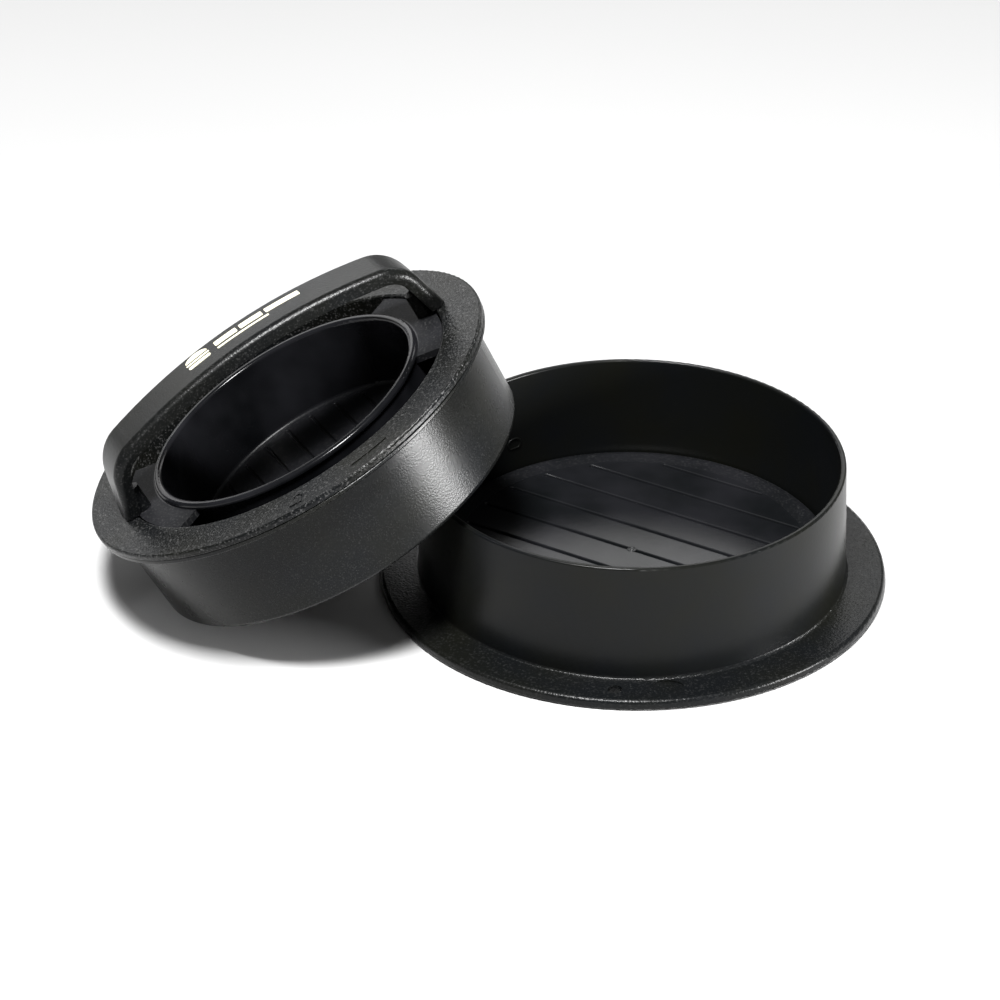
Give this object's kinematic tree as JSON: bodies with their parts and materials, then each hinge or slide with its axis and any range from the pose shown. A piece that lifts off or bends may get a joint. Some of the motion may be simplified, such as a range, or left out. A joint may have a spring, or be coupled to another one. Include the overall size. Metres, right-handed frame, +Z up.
{
  "type": "patty press",
  "caption": "Hand press for burger patties: round mould with a push-up grooved plate, and a leaning upper press with an arched handle.",
  "frame": {"origin": "on the table, under the middle of the whole set's bounding box", "axes": "+Z up from the table; +X from the leaning upper press towards the mould; +Y away from the front of the brim, which has the hanging hole"},
  "size_m": [0.2257, 0.1448, 0.0924],
  "materials": {
    "mould_black": "moulded black plastic, satin wall and fine spark-eroded grain on the brim",
    "plate_black": "moulded black plastic, semi-gloss, engraved grooves",
    "pan_black": "moulded black plastic, fine even grain",
    "ring_black": "moulded black plastic, coarse spark-eroded grain",
    "cup_gloss_black": "moulded black plastic, polished",
    "handle_black": "moulded black plastic, coarse spark-eroded grain, cream pad print on top",
    "screw_steel": "zinc-plated steel"
  },
  "bodies": {
    "mould": {"base_ring": "mould_black"},
    "plate": {"lift_plate": "plate_black"},
    "outer_press": {"press_pan": "pan_black", "lock_ring": "ring_black"},
    "grip": {"inner_press": "cup_gloss_black", "handle": "handle_black", "handle_screws": "screw_steel"}
  },
  "joints": [
    {"name": "plate_lift", "type": "slide", "parent": "mould", "child": "plate", "axis": [0, 0, 1], "range_m": [0, 0.03]},
    {"name": "press_lift", "type": "slide", "parent": "mould", "child": "outer_press", "axis": [0, 0, 1], "range_m": [0, 0.1]},
    {"name": "grip_twist", "type": "hinge", "parent": "outer_press", "child": "grip", "pos_m": [-0.0577, 0, 0.05413], "axis": [-0.4695, 0, 0.8829], "range_deg": [0, 28]}
  ]
}
